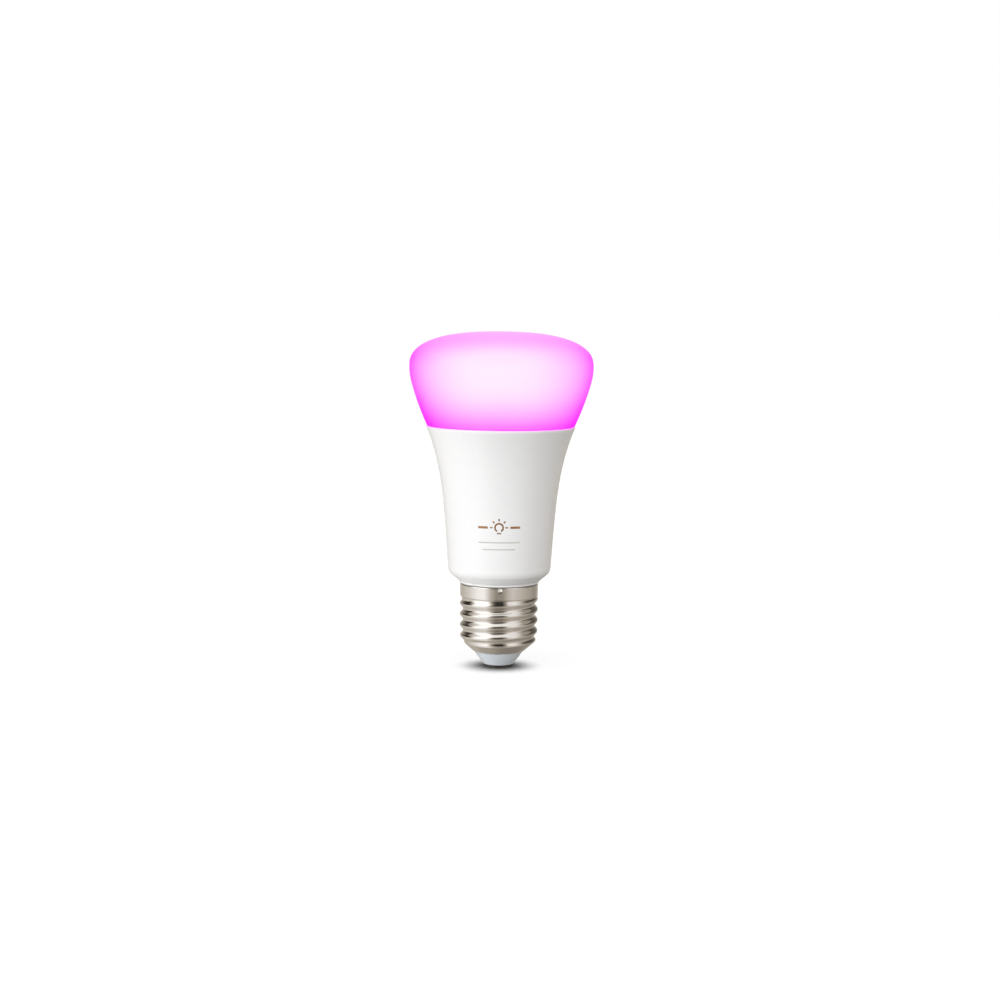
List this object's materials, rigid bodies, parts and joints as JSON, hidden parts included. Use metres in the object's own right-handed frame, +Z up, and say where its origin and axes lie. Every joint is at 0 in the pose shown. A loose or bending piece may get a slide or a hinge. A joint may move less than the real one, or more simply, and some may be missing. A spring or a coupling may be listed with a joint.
{
  "type": "smart light bulb",
  "caption": "Mushroom-shaped colour-changing LED bulb: frosted dome, flared white housing and E27 screw cap, with its LED board, radio board and driver inside.",
  "frame": {"origin": "middle of the centre contact's flat end, on the bulb's axis", "axes": "+Z up the axis from the contact to the dome; -Y is the front, towards a viewer of the printed mark"},
  "size_m": [0.061, 0.061, 0.112],
  "materials": {
    "frosted_dome": "frosted, translucent, lit pink",
    "white_housing": "satin",
    "nickel_plate": "bright nickel, lightly brushed",
    "insulator_grey": "satin",
    "contact_metal": "tinned",
    "aluminium": "as drawn",
    "silicone_white": "matt",
    "thermal_pad_grey": "matt",
    "white_solder_mask": "satin",
    "white_film": "matt",
    "led_frame": "matt",
    "phosphor_yellow": "matt",
    "led_lens_clear": "clear",
    "plated_steel": "zinc plated",
    "tinned_lead": "tinned",
    "connector_black": "matt",
    "connector_cream": "matt",
    "board_green": "satin",
    "copper": "bright",
    "liner_white": "matt",
    "capacitor_sleeve": "gloss",
    "bung_rubber": "matt",
    "ferrite": "matt",
    "bobbin_black": "matt",
    "tape_yellow": "gloss",
    "film_cap_yellow": "satin",
    "resistor_green": "satin",
    "varistor_blue": "satin",
    "chip_black": "matt",
    "chip_ceramic": "matt",
    "wire_red": "satin"
  },
  "bodies": {
    "root": {"diffuser_dome": "frosted_dome", "dome_adhesive_ring": "silicone_white", "housing_shell": "white_housing", "heat_sink_cup": "aluminium", "heat_spreader_plate": "aluminium", "thermal_pad": "thermal_pad_grey", "led_board": "white_solder_mask", "reflector_film": "white_film", "white_led_packages": "led_frame", "white_led_phosphors": "phosphor_yellow", "colour_led_packages": "led_frame", "colour_led_lenses": "led_lens_clear", "led_board_thermistor": "chip_black", "led_board_screws": "plated_steel", "led_header_socket": "connector_cream", "led_header_pins": "tinned_lead", "led_header_block": "connector_black", "radio_board": "board_green", "radio_shield_can": "plated_steel", "radio_chip": "chip_black", "radio_crystal": "plated_steel", "radio_header_pins": "tinned_lead", "antenna_trace": "copper", "driver_liner": "liner_white", "driver_board": "board_green", "bulk_capacitor_can": "capacitor_sleeve", "bulk_capacitor_bung": "bung_rubber", "bulk_capacitor_legs": "tinned_lead", "output_capacitor_can": "capacitor_sleeve", "output_capacitor_bung": "bung_rubber", "output_capacitor_legs": "tinned_lead", "transformer_core": "ferrite", "transformer_bobbin": "bobbin_black", "transformer_winding": "tape_yellow", "transformer_pins": "tinned_lead", "choke_core": "ferrite", "choke_winding": "copper", "choke_legs": "tinned_lead", "film_capacitor": "film_cap_yellow", "film_capacitor_legs": "tinned_lead", "fusible_resistor": "resistor_green", "fusible_resistor_legs": "tinned_lead", "varistor": "varistor_blue", "varistor_legs": "tinned_lead", "bridge_rectifier": "chip_black", "driver_chips": "chip_black", "driver_chip_legs": "tinned_lead", "chip_capacitor_bodies": "chip_ceramic", "chip_capacitor_ends": "tinned_lead", "cap_shell": "nickel_plate", "cap_insulator": "insulator_grey", "centre_contact_pin": "contact_metal", "live_wire": "wire_red", "live_solder_joint": "tinned_lead", "neutral_wire": "tinned_lead"}
  },
  "joints": []
}
